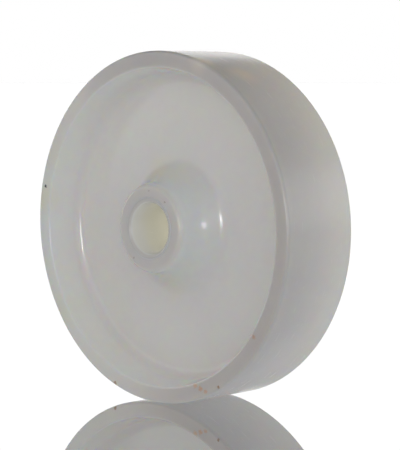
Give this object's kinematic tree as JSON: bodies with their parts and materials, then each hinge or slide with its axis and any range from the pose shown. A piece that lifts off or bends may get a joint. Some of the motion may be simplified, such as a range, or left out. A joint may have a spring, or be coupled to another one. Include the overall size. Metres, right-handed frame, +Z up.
{
  "type": "caster wheel",
  "caption": "Solid webbed wheel in natural nylon with a flat tread and a flared hub, turning on a plain bush with an open axle bore.",
  "frame": {"origin": "centre of the wheel, on the spin axis and half way between the faces", "axes": "+Y along the spin axis, +Z up, +X along the direction of travel; the two faces are alike"},
  "size_m": [0.075, 0.024, 0.075],
  "materials": {
    "natural_nylon": "translucent natural polyamide, moulded, slightly glossy, with handling marks",
    "bearing_plastic": "cream bearing plastic, satin"
  },
  "bodies": {
    "bush": {"bore_bush": "bearing_plastic"},
    "wheel": {"wheel_body": "natural_nylon"}
  },
  "joints": [
    {"name": "wheel_spin", "type": "hinge", "parent": "bush", "child": "wheel", "pos_m": [0, 0, 0], "axis": [0, 1, 0], "continuous": true}
  ]
}
